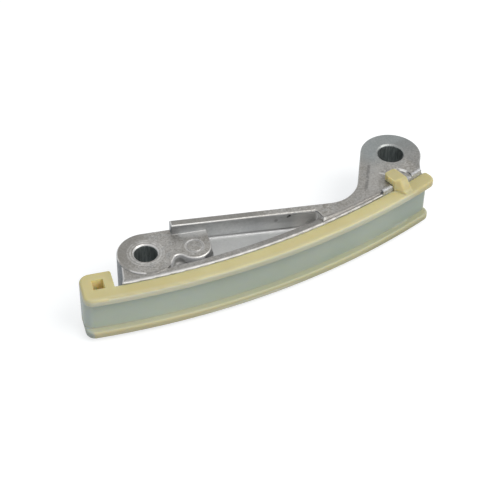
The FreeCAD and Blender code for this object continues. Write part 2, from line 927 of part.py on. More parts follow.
def clear_corners(body):
    """Round the upright back corners of the nose and of the hook block."""
    sketch = start_sketch(body, "nose_corner", offset="dims.shoe_top")
    draw_outline(sketch, nose_back_corner(shoe_end_angle()))
    pocket(body, "nose_back", sketch, "dims.shoe_top")
    sketch = start_sketch(body, "hook_corner", offset="dims.shoe_top")
    draw_outline(sketch, hook_back_corner())
    pocket(body, "hook_back", sketch, "dims.shoe_top")


def start_finger_sketch(body, name):
    """Upright sketch on the radius through the fingers' middle: x points in, y points up."""
    sketch = start_sketch(body, name, "YZ_Plane")
    centre = face_centre()
    turn = FreeCAD.Rotation(FreeCAD.Vector(0, 1, 0), finger_angle() + 90)
    sketch.AttachmentOffset = FreeCAD.Placement(FreeCAD.Vector(centre[1], 0, centre[0]), turn)
    return sketch


def add_fingers(body):
    """Clip fingers: the upper one laps onto the arm, the lower one lies in the arm's notch."""
    inner = value("face_radius")
    tip = inner - value("finger_reach")
    bottom = arm_height() + value("finger_gap")
    top = bottom + value("finger_thickness")
    ledge = value("flange_height") + value("finger_gap")
    step = casting_face() - value("arm_setback") + value("finger_gap")
    root = value("shoe_top") - value("rim_width") / 2
    nick = value("seat_gap") / 2
    profile = [
        (tip, bottom),
        (tip, top),
        (ramp_back(), top),
        (ramp_back(), root),
        (inner + nick, root),
        (inner + nick, ledge),
        (step, ledge),
        (step, bottom),
    ]
    sketch = start_finger_sketch(body, "upper_finger_profile")
    draw_outline(sketch, polygon([(-out, up) for out, up in profile]))
    feature = pad(body, "upper_finger", sketch, "dims.finger_width")
    feature.SideType = "Symmetric"
    sketch = start_finger_sketch(body, "lower_finger_profile")
    low = value("shoe_bottom")
    high = low + value("finger_thickness")
    profile = [(tip, low), (tip, high), (inner + nick, high), (inner + nick, low)]
    draw_outline(sketch, polygon([(-out, up) for out, up in profile]))
    feature = pad(body, "lower_finger", sketch, "dims.finger_width")
    feature.SideType = "Symmetric"
    body.Document.recompute()


def ramp_back():
    """Distance from the arcs' centre where the upper finger's strap meets its ramp."""
    return rim_front() - value("ramp_length")


def rim_front():
    """Distance from the arcs' centre where the upper rim's rounded front edge begins to fall."""
    outer = value("face_radius") + value("track_wall") + value("rim_depth")
    return outer - value("rim_round") / 2


def add_finger_ramp(body):
    """Ramp from the rim's front edge up to the strap, with a sloping left flank."""
    half = value("finger_width") / 2
    foot = value("shoe_top") - value("rim_width") / 2
    top = arm_height() + value("finger_gap") + value("finger_thickness")
    low = value("shoe_top") - value("rim_round") / 4
    ridge = -half + value("ramp_ridge")
    toe = -half + value("ramp_toe")
    back = [(-half, foot), (half, foot), (half, top), (ridge, top)]
    front = [(toe, foot), (half, foot), (half, low), (ridge, low)]
    sections = []
    for name, out, corners in (("ramp_back", ramp_back(), back), ("ramp_front", rim_front(), front)):
        sketch = start_sketch(body, name, "XZ_Plane")
        place = finger_point(0, out)
        turn = FreeCAD.Rotation(FreeCAD.Vector(0, 1, 0), finger_angle() + 90)
        sketch.AttachmentOffset = FreeCAD.Placement(FreeCAD.Vector(place[0], 0, -place[1]), turn)
        sections.append(draw_outline(sketch, polygon(corners)))
    loft = body.newObject("PartDesign::AdditiveLoft", "finger_ramp")
    loft.Profile = sections[0]
    loft.Sections = [sections[1]]
    loft.Ruled = True
    for sketch in sections:
        sketch.Visibility = False
    body.Document.recompute()


def on_finger_tip(edge):
    """Upright edges at the tip of either finger."""
    middle = middle_of(edge)
    out = math.dist((middle.x, middle.y), face_centre())
    tip = value("face_radius") - value("finger_reach")
    near_finger = abs(middle.x - finger_x()) < value("finger_width")
    return near_finger and abs(out - tip) < 0.1 and edge.BoundBox.ZLength > 1


def on_strap_top(edge):
    """Edges round the top of the strap, but not across it where the ramp begins."""
    middle = middle_of(edge)
    top = arm_height() + value("finger_gap") + value("finger_thickness")
    return at_height(edge, top) and math.dist((middle.x, middle.y), face_centre()) < ramp_back() - 0.1


def round_fingers(body):
    dress(body, "Fillet", "finger_tip", "Radius", "finger_tip_radius", on_finger_tip)
    dress(body, "Fillet", "finger_edge", "Radius", "finger_round", on_strap_top)


def build_shoe(doc):
    body = doc.addObject("PartDesign::Body", "guide_shoe")
    body.AllowCompound = True
    add_rims(body)
    round_ledges(body)
    add_track(body)
    round_shoe(body)
    clear_corners(body)
    add_core_hole(body)
    add_slot(body)
    add_fingers(body)
    add_finger_ramp(body)
    round_fingers(body)
    return body


def main():
    doc = FreeCAD.newDocument("timing_chain_guide")
    fill_sheet(doc)
    bodies = [build_bracket(doc), build_shoe(doc)]
    doc.recompute()
    for item in doc.Objects:
        if "Invalid" in item.State or "Error" in item.State:
            raise ValueError(f"{item.Label}: {item.State}")
    for body in bodies:
        if body.Shape.isNull() or not body.Shape.isValid():
            raise ValueError(f"{body.Label} has no valid shape")
    os.makedirs("parts", exist_ok=True)
    for body in bodies:
        body.Shape.exportStep(f"parts/{body.Label}.step")
        print(body.Label, len(body.Shape.Solids), round(body.Shape.Volume), body.Shape.BoundBox)


main()
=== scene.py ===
import math

import bpy
from mathutils import Matrix, Vector

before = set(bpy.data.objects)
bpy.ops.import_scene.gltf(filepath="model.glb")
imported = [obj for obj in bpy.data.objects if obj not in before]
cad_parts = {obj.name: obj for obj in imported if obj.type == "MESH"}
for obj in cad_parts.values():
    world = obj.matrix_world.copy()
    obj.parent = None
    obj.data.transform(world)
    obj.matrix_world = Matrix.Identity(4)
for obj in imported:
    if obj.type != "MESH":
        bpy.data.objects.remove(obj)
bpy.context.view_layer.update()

# Axes in the plan of the part, in millimetres
FACE_CENTRE = (61.0, 261.6)
LEFT_HOLE = (0.0, 0.0)
RIGHT_HOLE = (108.7, 0.0)
EJECTOR_MARK = (17.0, -5.8)
CORE_HOLE = (-21.4, -3.9)
FINGER_SEAT = (102.8, -13.5)
RAMP_PLACE = (101.0, -19.5)

# Radii round these axes
LEFT_HOLE_RADIUS = 4.25
RIGHT_HOLE_RADIUS = 5.0
EJECTOR_RADIUS = 3.3
BOSS_RADIUS = 10.6
ARM_FRONT = 279.7
RIM_RADIUS = 286.8

# Lines in the plan, each from start to end
OUT_FROM_BOSS = (LEFT_HOLE, (-7.0, 7.0))
RAIL_FOOT = ((13.62, 3.25), (63.86, -13.07))
SCUFF = ((98.2, -7.7), (99.8, -9.7))
CREASE = ((97.3, -1.6), (87.8, -13.1))

# Points
NOTCH = (9.5, -7.5, 17.8)
RAMP_MIDDLE = (100.8, -18.8, 22.6)
RAMP_HEART = (102.5, -14.5, 18.8)

# Pits in the rail's wall, dark with painted shade, each a point, a size and how dark it is
WALL_PITS = (
    ((55.2, -10.25, 22.3), 0.75, 0.95),
    ((54.6, -10.05, 21.9), 0.6, 0.9),
    ((50.3, -8.67, 20.95), 1.1, 0.35),
)
# Colour of the painted shade in the pits
PIT_SHADE = (0.05, 0.05, 0.05)

# Heights above the feet
FLANGE_TOP = 21.2
SHOE_MIDDLE = 10.9
TRACK_LOW = 4.1
TRACK_HIGH = 17.7

# Section of the shoe's rims: rounding, and levels from the shoe's middle where the front is flat
RIM_ROUNDING = 1.0
RIM_INNER = 7.4
RIM_OUTER = 8.5

# Fades that several looks share, each from where it starts to where it is full
LEVEL = (0.93, 0.98)
POCKET_START = (19.0, 23.0)
NOISE_SPAN = (0.35, 0.65)

STRAIGHT_UP = (0.0, 0.0, 1.0)
EDGE_SAMPLES = 6

# Radii of softened edges, and depths of the grain, in metres
CAST_EDGE = 0.0006
CAST_GRAIN = 0.00016
NYLON_EDGE = 0.0004
NYLON_RAMP_EDGE = 0.0018
NYLON_GRAIN = 0.00004

# Floor, world and light, in metres and watts
FLOOR_PLACE = (0.05, 0.0, 0.0)
FLOOR_SIZE = 6.0
FLOOR_GLOW = 0.7
WORLD_SOFT = 0.6
WORLD_WHITE = 1.0
KEY_PLACE = (0.40, -0.50, 0.75)
KEY_TARGET = (0.05, 0.0, 0.0)
KEY_SIZE = 0.7
KEY_POWER = 5.6
KEY_COLOUR = (1.0, 0.98, 0.94)

# Camera: places and clipping in metres, lens and sensor in millimetres, roll in degrees
EYE = (-0.18087, -0.35044, 0.39435)
TARGET = (0.04563, 0.00143, 0.0)
CLIP_START = 0.01
CLIP_END = 20.0
LENS = 108.0
SENSOR = 36.0
ROLL = 1.3


# Node helpers

def new_material(name):
    material = bpy.data.materials.new(name)
    material.use_nodes = True
    material.node_tree.nodes.clear()
    return material


class Nodes:
    """Short way to add and join shader nodes."""

    def __init__(self, owner):
        self.tree = owner.node_tree

    def add(self, kind, **settings):
        node = self.tree.nodes.new(kind)
        for key, setting in settings.items():
            setattr(node, key, setting)
        return node

    def put(self, socket, source):
        if isinstance(source, (int, float, tuple)):
            if isinstance(source, tuple) and len(source) == 3 and socket.type == "RGBA":
                source = (*source, 1.0)
            socket.default_value = source
        else:
            self.tree.links.new(source, socket)

    def math(self, operation, *values):
        node = self.add("ShaderNodeMath", operation=operation)
        for socket, source in zip(node.inputs, values):
            self.put(socket, source)
        return node.outputs[0]

    def times(self, first, *others):
        for other in others:
            first = self.math("MULTIPLY", first, other)
        return first

    def largest(self, first, *others):
        for other in others:
            first = self.math("MAXIMUM", first, other)
        return first

    def outside(self, mask):
        """1 where the mask is 0."""
        return self.math("SUBTRACT", 1.0, mask)

    def mix(self, share, one, two):
        node = self.add("ShaderNodeMix", data_type="RGBA")
        self.put(node.inputs[0], share)
        self.put(node.inputs[6], one)
        self.put(node.inputs[7], two)
        return node.outputs[2]

    def coats(self, base, *coats):
        """Base under coats, each a mask, its share and its colour."""
        for mask, share, colour in coats:
            base = self.mix(self.times(mask, share), base, colour)
        return base

    def noise(self, place, scale, detail=3.0, roughness=0.5, distortion=0.0):
        node = self.add("ShaderNodeTexNoise")
        self.put(node.inputs["Vector"], place)
        self.put(node.inputs["Scale"], scale)
        self.put(node.inputs["Detail"], detail)
        self.put(node.inputs["Roughness"], roughness)
        self.put(node.inputs["Distortion"], distortion)
        return node.outputs["Fac"]

    def ramp(self, source, low, high, start=0.0, end=1.0):
        node = self.add("ShaderNodeMapRange", interpolation_type="SMOOTHSTEP")
        self.put(node.inputs["Value"], source)
        self.put(node.inputs["From Min"], low)
        self.put(node.inputs["From Max"], high)
        self.put(node.inputs["To Min"], start)
        self.put(node.inputs["To Max"], end)
        return node.outputs["Result"]

    def band(self, source, low, high, soft):
        """1 between low and high, fading to 0 over a soft margin outside."""
        rise = self.ramp(source, low - soft, low)
        fall = self.ramp(source, high, high + soft, 1.0, 0.0)
        return self.times(rise, fall)

    def stretch(self, place, factors):
        node = self.add("ShaderNodeVectorMath", operation="MULTIPLY")
        self.put(node.inputs[0], place)
        self.put(node.inputs[1], factors)
        return node.outputs[0]

    def blend_normals(self, share, one, two):
        node = self.add("ShaderNodeMix", data_type="VECTOR")
        self.put(node.inputs[0], share)
        self.put(node.inputs[4], one)
        self.put(node.inputs[5], two)
        return node.outputs[1]

    def direction(self, x, y, z):
        """Unit vector from three parts."""
        joined = self.add("ShaderNodeCombineXYZ")
        for socket, source in zip(joined.inputs, (x, y, z)):
            self.put(socket, source)
        unit = self.add("ShaderNodeVectorMath", operation="NORMALIZE")
        self.put(unit.inputs[0], joined.outputs[0])
        return unit.outputs[0]

    def bump(self, height, distance, strength, normal):
        node = self.add("ShaderNodeBump")
        self.put(node.inputs["Strength"], strength)
        self.put(node.inputs["Distance"], distance)
        self.put(node.inputs["Height"], height)
        self.put(node.inputs["Normal"], normal)
        return node.outputs["Normal"]

    def soft_edges(self, radius):
        node = self.add("ShaderNodeBevel", samples=EDGE_SAMPLES)
        self.put(node.inputs["Radius"], radius)
        return node.outputs["Normal"]

    def seen_direct(self):
        """1 for rays from the camera and from glossy surfaces."""
        path = self.add("ShaderNodeLightPath")
        return self.largest(path.outputs["Is Camera Ray"], path.outputs["Is Glossy Ray"])

    def finish(self, shader):
        output = self.add("ShaderNodeOutputMaterial")
        self.put(output.inputs["Surface"], shader)


class Surface:
    """Place in the row frame in millimetres, and the facing of the surface there."""

    def __init__(self, nodes):
        self.nodes = nodes
        coordinates = nodes.add("ShaderNodeTexCoord")
        scale = nodes.add("ShaderNodeVectorMath", operation="SCALE")
        nodes.put(scale.inputs[0], coordinates.outputs["Object"])
        nodes.put(scale.inputs["Scale"], 1000.0)
        self.place = scale.outputs[0]
        self.x, self.y, self.z = self.split(self.place)
        self.right, self.back, self.up = self.split(coordinates.outputs["Normal"])
        self.radius = self.from_axis(FACE_CENTRE)

    def split(self, vector):
        node = self.nodes.add("ShaderNodeSeparateXYZ")
        self.nodes.put(node.inputs[0], vector)
        return node.outputs

    def from_axis(self, centre):
        """Distance in the plan from an upright axis."""
        nodes = self.nodes
        dx = nodes.math("SUBTRACT", self.x, centre[0])
        dy = nodes.math("SUBTRACT", self.y, centre[1])
        return nodes.math("SQRT", nodes.math("ADD", nodes.times(dx, dx), nodes.times(dy, dy)))

    def from_point(self, point):
        node = self.nodes.add("ShaderNodeVectorMath", operation="DISTANCE")
        self.nodes.put(node.inputs[0], self.place)
        self.nodes.put(node.inputs[1], point)
        return node.outputs["Value"]

    def along_line(self, start, end):
        """Share of the way along a line in the plan, and the signed distance to its right."""
        nodes = self.nodes
        run = (end[0] - start[0], end[1] - start[1])
        length = math.hypot(*run)
        step = (run[0] / length, run[1] / length)
        dx = nodes.math("SUBTRACT", self.x, start[0])
        dy = nodes.math("SUBTRACT", self.y, start[1])
        along = nodes.math("ADD", nodes.times(dx, step[0]), nodes.times(dy, step[1]))
        aside = nodes.math("SUBTRACT", nodes.times(dx, step[1]), nodes.times(dy, step[0]))
        return nodes.math("DIVIDE", along, length), aside

    def where(self, **limits):
        """1 where each named measure has passed (start, full) or is inside (low, high, soft)."""
        shares = []
        for measure, limit in limits.items():
            fade = self.nodes.band if len(limit) == 3 else self.nodes.ramp
            shares.append(fade(getattr(self, measure), *limit))
        return self.nodes.times(*shares)


# Casting

class CastSurface(Surface):
    """The casting's surface, with the masks that several of its looks share."""

    def __init__(self, nodes):
        super().__init__(nodes)
        self.floor = self.where(z=(13.5, 18.5, 0.6), up=(0.55, 0.9), x=POCKET_START)
        # Band at the foot of the rail's wall: painted shade dims its highlight, and edge highlights
        # leave it out
        self.foot_painted_shade = self.where(
            z=(13.0, 18.8, 0.4), up=(0.2, 0.95, 0.04), back=(-0.1, -0.25), x=POCKET_START)
        # Front wall under the lug, which gets painted light and less metal shine
        self.lit_lug_wall = self.where(
            up=(0.3, 0.1), x=(5.5, 17.5, 0.8), z=(17.0, 21.6, 0.2), y=(-4.0, -5.0))
        self.lips = self.where(radius=(279.6, 280.2), z=(20.3, 20.6), x=(92.5, 93.2))
        self.notch = nodes.ramp(self.from_point(NOTCH), 3.0, 2.0)
        self.steps = self.low_steps()

    def low_steps(self):
        """1 on the low steps in front of the arm and round the left boss, whose highlight and shade get
        painted over, except a stretch of the boss's step left lit.
        """
        nodes = self.nodes
        above_flange = self.where(z=(FLANGE_TOP - 0.05, FLANGE_TOP + 0.1))
        arm_step = self.where(
            radius=(ARM_FRONT - 0.85, ARM_FRONT + 0.05, 0.15), x=(63.0, 93.0, 0.5))
        from_boss = self.from_axis(LEFT_HOLE)
        boss_edge = nodes.band(from_boss, BOSS_RADIUS - 0.7, BOSS_RADIUS + 0.05, 0.15)
        unlit = nodes.ramp(self.where(x=(-8.6, -5.4, 1.0)), 0.0, 1.0, 1.0, 0.0)
        boss_step = nodes.times(boss_edge, unlit, self.where(y=(2.0, 0.0), x=(6.2, 5.2)))
        return nodes.times(nodes.largest(arm_step, boss_step), above_flange)


def casting_grey(nodes, surface):
    """Mottled grey of the cast skin, in warm and cool patches."""
    broad = nodes.noise(surface.place, 0.11, roughness=0.55)
    patch = nodes.noise(surface.place, 0.42, roughness=0.6, distortion=0.4)
    grain = nodes.noise(surface.place, 1.15, detail=4.0, roughness=0.75)
    hue = nodes.noise(surface.place, 0.28, detail=2.0)
    base = nodes.mix(nodes.ramp(broad, *NOISE_SPAN), (0.262, 0.250, 0.228), (0.305, 0.296, 0.280))
    base = nodes.mix(nodes.ramp(patch, 0.4, 0.66, 0.0, 0.75), base, (0.360, 0.350, 0.332))
    base = nodes.mix(nodes.ramp(hue, 0.5, 0.68, 0.0, 0.5), base, (0.265, 0.272, 0.272))
    base = nodes.mix(nodes.ramp(grain, 0.5, 0.66, 0.0, 0.75), base, (0.47, 0.46, 0.44))
    return nodes.mix(nodes.ramp(grain, 0.34, 0.48, 0.7, 0.0), base, (0.15, 0.143, 0.13))


def pocket_tints(nodes, surface, base):
    """Bluer right boss, and the pocket's bright floor, which is darker towards the right."""
    blue_end = surface.where(y=(-8.0, 4.0), x=(92.0, 100.0))
    floor_end = nodes.times(surface.floor, surface.where(x=(36.0, 44.0)))
    return nodes.coats(
        base,
        (blue_end, 0.7, (0.235, 0.265, 0.272)),
        (surface.floor, 0.8, (0.60, 0.608, 0.607)),
        (floor_end, 0.6, (0.42, 0.43, 0.44)),
    )


def top_tints(nodes, surface, base):
    """Darker tops of the rail and the flange, and a painted highlight on the flange's front edge at the
    left.
    """
    rail_top = surface.where(z=(24.0, 24.6), up=LEVEL)
    flange = surface.where(z=(20.9, 21.3, 0.1), up=LEVEL)
    flange_middle = nodes.times(flange, surface.where(x=(42.0, 60.0, 8.0)))
    # Painted highlight along the flange's front edge at the left
    flange_edge_highlight = nodes.times(flange, surface.where(radius=(279.7, 280.3), x=(16.0, 6.0)))
    return nodes.coats(
        base,
        (rail_top, 0.75, (0.19, 0.183, 0.168)),
        (flange, 0.3, (0.19, 0.183, 0.172)),
        (flange_middle, 0.5, (0.18, 0.178, 0.17)),
        (flange_edge_highlight, 0.7, (0.50, 0.498, 0.49)),
    )


def rail_wall_painted_shade(nodes, surface):
    """Painted shade and light on the rail's wall: paler to the right, and darker near its top except at
    that end.
    """
    # Painted shade and light on the rail's wall, by height and along its length
    low = nodes.coats(
        (0.37, 0.38, 0.39),
        (surface.where(x=(20.0, 30.0)), 1.0, (0.52, 0.535, 0.55)),
        (surface.where(x=(42.0, 50.0)), 1.0, (0.68, 0.69, 0.69)),
    )
    high = nodes.coats(
        (0.26, 0.268, 0.28),
        (surface.where(x=(18.0, 27.0)), 1.0, (0.32, 0.328, 0.335)),
        (surface.where(x=(40.0, 50.0)), 1.0, (0.56, 0.562, 0.565)),
        (surface.where(x=(57.0, 62.0)), 1.0, (0.80, 0.80, 0.79)),
    )
    cloud = nodes.times(nodes.noise(surface.place, 0.35, roughness=0.6), 4.0)
    return nodes.mix(nodes.ramp(nodes.math("ADD", surface.z, cloud), 20.0, 28.0), low, high)


def wall_tints(nodes, surface, base):
    """Painted shade on the rail's wall and at its foot, painted light on the lug's wall, a painted
    shadow on the lug's end, and painted shade on the right boss's flank.
    """
    rail_wall = surface.where(
        back=(-0.5, -0.8), up=(0.5, 0.25), x=(12.0, 66.0, 1.0), z=(14.0, 15.0))
    # Painted shadow on the lug's right end, beside the pocket floor
    lug_end_shadow = surface.where(
        right=(0.2, 0.6), x=(19.0, 25.0, 0.5), z=(15.0, 21.4, 0.3), y=(1.0, 0.0))
    # Painted shade that dims the highlight on the right boss's flank
    flank = surface.where(x=(110.5, 114.0), y=(6.0, 3.0))
    return nodes.coats(
        base,
        (rail_wall, 0.8, rail_wall_painted_shade(nodes, surface)),
        # Painted shade at the foot of the rail's wall
        (surface.foot_painted_shade, 0.9, (0.34, 0.345, 0.35)),
        # Painted light on the lug's front wall
        (surface.lit_lug_wall, 0.95, (0.60, 0.60, 0.605)),
        (lug_end_shadow, 0.85, (0.11, 0.11, 0.112)),
        (flank, 0.5, (0.185, 0.19, 0.185)),
    )


def side_tints(nodes, surface, base):
    """Darker left boss and arm, and painted shade on sides that face left."""
    outward = nodes.ramp(surface.along_line(*OUT_FROM_BOSS)[0], -0.1, 0.7)
    left_boss = nodes.times(outward, surface.where(z=(21.4, 21.8), up=LEVEL, x=(16.0, 10.0)))
    arm = surface.where(x=(76.0, 96.0, 6.0), up=LEVEL)
    # Bluish painted shade on sides that face left
    facing_left = surface.where(right=(-0.3, -0.8), up=(0.4, 0.2))
    left_side_shade = nodes.times(facing_left, nodes.outside(surface.lit_lug_wall))
    return nodes.coats(
        base,
        (left_boss, 0.65, (0.175, 0.167, 0.15)),
        (arm, 0.3, (0.21, 0.203, 0.19)),
        (left_side_shade, 0.85, (0.125, 0.144, 0.165)),
    )


def lip_grey(nodes, surface):
    """Rough pale metal of the lips beside the clip finger."""
    rough = nodes.noise(surface.place, 1.6, roughness=0.6)
    return nodes.mix(nodes.ramp(rough, *NOISE_SPAN), (0.30, 0.305, 0.32), (0.60, 0.605, 0.62))


def edge_tints(nodes, surface, base):
    """Painted light on the end of the pocket, pale edges that are partly wear and partly painted
    highlight, mid grey painted over the low steps' highlight and shade, and the two rough lips.
    """
    to_front = surface.where(back=(-0.2, -0.5))
    to_left = surface.where(right=(-0.2, -0.5))
    # Painted light on the end of the pocket
    pocket_end_light = nodes.times(
        nodes.largest(to_front, to_left, surface.floor),
        surface.where(x=(59.0, 66.5, 4.0), z=(22.5, 22.3), radius=(279.4, 279.0)))
    # Rounded edges: paler from wear and from painted highlight
    edge = nodes.times(
        surface.where(up=(0.45, 0.9, 0.12)),
        nodes.ramp(surface.x, 5.0, 70.0, 0.8, 0.2),
        nodes.outside(nodes.largest(surface.steps, surface.foot_painted_shade)))
    return nodes.coats(
        base,
        (pocket_end_light, 0.9, (0.80, 0.795, 0.78)),
        (edge, 1.0, (0.62, 0.615, 0.61)),
        # Mid grey painted over the steps' highlight and shade
        (surface.steps, 0.5, (0.35, 0.34, 0.325)),
        (surface.lips, 0.9, lip_grey(nodes, surface)),
    )


def casting_marks(nodes, surface, base):
    """Painted light at the foot of the rail, rings, a painted highlight arc, a painted shadow arc and a
    scuff by the clip finger, the notch, and painted shade in the pits.
    """
    top = surface.where(up=(0.9, 0.98))
    worn = nodes.ramp(nodes.noise(surface.place, 0.6, roughness=0.6), 0.38, 0.6, 0.2, 1.0)
    seat = surface.from_axis(LEFT_HOLE)
    outer_ring = nodes.times(nodes.band(seat, 6.5, 6.7, 0.4), 0.6)
    rings = nodes.times(nodes.largest(nodes.band(seat, 5.5, 5.8, 0.35), outer_ring), worn)
    from_mark = surface.from_axis(EJECTOR_MARK)
    ejector = nodes.band(from_mark, EJECTOR_RADIUS - 0.35, EJECTOR_RADIUS + 0.1, 0.5)
    # Painted light on the plateau at the foot of the rail
    by_rail = nodes.ramp(surface.along_line(*RAIL_FOOT)[1], 3.8, 0.2)
    rail_foot_light = nodes.times(by_rail, surface.where(x=(16.5, 27.0, 3.0), z=(21.5, 22.2, 0.1)), top)
    from_finger = surface.from_axis(FINGER_SEAT)
    beyond_finger = surface.where(x=(105.5, 106.2), z=(20.0, 21.0), y=(-12.6, -11.6))
    # Painted highlight on the seat's far edge and painted shadow inside it
    seat_highlight = nodes.times(nodes.band(from_finger, 4.5, 5.2, 0.3), beyond_finger)
    seat_shadow = nodes.times(nodes.band(from_finger, 2.8, 4.1, 0.4), beyond_finger)
    along, aside = surface.along_line(*SCUFF)
    scuff = nodes.times(nodes.band(along, 0.0, 1.0, 0.3), nodes.band(aside, -0.2, 0.2, 0.3), top)
    base = nodes.coats(
        base,
        (rail_foot_light, 0.75, (0.82, 0.82, 0.81)),
        (nodes.times(nodes.largest(rings, ejector), top), 0.6, (0.60, 0.595, 0.585)),
        (seat_highlight, 0.9, (0.85, 0.85, 0.85)),
        (seat_shadow, 0.8, (0.10, 0.10, 0.10)),
        (scuff, 0.7, (0.62, 0.615, 0.605)),
        (surface.notch, 0.9, (0.30, 0.297, 0.29)),
    )
    # Painted shade in the pits
    for point, size, share in WALL_PITS:
        pit_shade = nodes.ramp(surface.from_point(point), size, 0.3 * size)
        base = nodes.coats(base, (pit_shade, share, PIT_SHADE))
    return base


def arm_crease(nodes, surface):
    """Painted shade along the fold line on the arm, and painted light on the metal beside it."""
    along, aside = surface.along_line(*CREASE)
    on_crease = nodes.times(nodes.band(along, 0.05, 0.92, 0.12), surface.where(z=(20.0, 21.0)))
    lit = nodes.times(nodes.band(aside, -3.6, -0.8, 1.6), on_crease)
    ragged = nodes.ramp(nodes.noise(surface.place, 0.9, detail=2.0), 0.3, 0.6, 0.25, 1.0)
    dark = nodes.times(nodes.band(aside, -0.25, 0.25, 0.7), on_crease, ragged)
    return lit, dark


def hole_walls(nodes, surface):
    """1 on the walls of the two bolt holes."""
    walls = []
    for axis, radius in ((LEFT_HOLE, LEFT_HOLE_RADIUS), (RIGHT_HOLE, RIGHT_HOLE_RADIUS)):
        walls.append(nodes.ramp(surface.from_axis(axis), radius + 0.05, radius + 0.2, 1.0, 0.0))
    return nodes.largest(*walls)


def drilled_streaks_and_shade(nodes, surface):
    """Wall of a drilled hole, streaked along its axis, with painted shade darkening it."""
    streaks = nodes.noise(nodes.stretch(surface.place, (1.0, 1.0, 0.12)), 1.6, roughness=0.6)
    return nodes.mix(nodes.ramp(streaks, 0.36, 0.7), (0.22, 0.245, 0.245), (0.42, 0.45, 0.445))


def casting_material():
    """Cast aluminium: mottled skin, tinted places, many of them painted light and shade, marks, the
    arm's crease with painted shade, and the drilled holes with painted shade.
    """
    material = new_material("cast_aluminium")
    nodes = Nodes(material)
    surface = CastSurface(nodes)
    base = casting_grey(nodes, surface)
    for paint in (pocket_tints, top_tints, wall_tints, side_tints, edge_tints, casting_marks):
        base = paint(nodes, surface, base)
    lit, crease = arm_crease(nodes, surface)
    # Painted light beside the arm's fold line, and painted shade along it
    base = nodes.coats(base, (lit, 0.3, (0.46, 0.455, 0.44)), (crease, 0.7, (0.14, 0.138, 0.132)))
    # Streaked walls of the bolt holes, with painted shade
    base = nodes.mix(hole_walls(nodes, surface), base, drilled_streaks_and_shade(nodes, surface))
    fine = nodes.noise(surface.place, 3.2, detail=4.0, roughness=0.65)
    grain = nodes.noise(surface.place, 1.2, roughness=0.6)
    height = nodes.math("ADD", nodes.times(fine, 0.5), grain)
    height = nodes.math("SUBTRACT", height, nodes.times(crease, 1.5))
    rough_skin = nodes.largest(surface.notch, surface.lips, surface.lit_lug_wall)
    flattened = nodes.times(surface.steps, 0.9)
    normal = nodes.blend_normals(flattened, nodes.soft_edges(CAST_EDGE), STRAIGHT_UP)
    shader = nodes.add("ShaderNodeBsdfPrincipled")
    nodes.put(shader.inputs["Base Color"], base)
    nodes.put(shader.inputs["Metallic"], nodes.ramp(rough_skin, 0.0, 1.0, 0.85, 0.35))
    nodes.put(shader.inputs["Roughness"], nodes.ramp(grain, 0.3, 0.7, 0.36, 0.5))
    nodes.put(shader.inputs["Normal"], nodes.bump(height, CAST_GRAIN, 0.5, normal))
    nodes.finish(shader.outputs[0])
    return material


# Shoe

def rim_facing(nodes, surface):
    """Exact facing of the rims' rounded edges, where the mesh is coarse, and 1 where it holds."""
    past_rounding = nodes.math("SUBTRACT", surface.radius, RIM_RADIUS - RIM_ROUNDING)
    share = nodes.math("DIVIDE", nodes.math("MAXIMUM", past_rounding, 0.0), surface.radius)
    height = nodes.math("SUBTRACT", surface.z, SHOE_MIDDLE)
    level = nodes.math("ABSOLUTE", height)
    lift = nodes.math("MAXIMUM", nodes.math("SUBTRACT", level, RIM_OUTER), 0.0)
    drop = nodes.math("MINIMUM", nodes.math("SUBTRACT", level, RIM_INNER), 0.0)
    exact = nodes.direction(
        nodes.times(nodes.math("SUBTRACT", surface.x, FACE_CENTRE[0]), share),
        nodes.times(nodes.math("SUBTRACT", surface.y, FACE_CENTRE[1]), share),
        nodes.times(nodes.math("ADD", lift, drop), nodes.math("SIGN", height)),
    )
    on_rim = surface.where(radius=(284.7, 285.1), x=(-21.5, 109.0, 1.0))
    return exact, nodes.times(nodes.band(level, 6.45, 9.62, 0.05), on_rim)


def ramp_facing(nodes, surface):
    """Rounded facing of the clip finger's ramp, which runs out into the top, and 1 where it holds."""
    parts = zip((surface.x, surface.y, surface.z), RAMP_HEART)
    around = nodes.direction(*[nodes.math("SUBTRACT", part, centre) for part, centre in parts])
    rounded = nodes.blend_normals(nodes.ramp(surface.z, 20.6, 22.2), STRAIGHT_UP, around)
    near = nodes.ramp(surface.from_point(RAMP_MIDDLE), 4.8, 3.4)
    return rounded, nodes.times(near, surface.where(y=(-16.2, -17.0), z=(20.5, 20.7)))


def darker_cream(nodes, surface):
    """How much darker the shoe's top is: on the nose, the clip finger and the hook's inner edge."""
    nose = surface.where(x=(98.0, 106.0))
    finger = surface.where(z=(24.2, 24.8))
    hook = nodes.times(surface.where(x=(-19.0, -16.0), y=(-8.0, -4.0)), 0.7)
    return nodes.times(nodes.largest(nose, finger, hook), 0.75)


def rim_painted_sheen(nodes, surface):
    """Painted sheen on the upper rim's rounded edge, palest towards the left end."""
    return nodes.mix(surface.where(x=(-15.0, 45.0)), (0.63, 0.62, 0.48), (0.535, 0.54, 0.41))


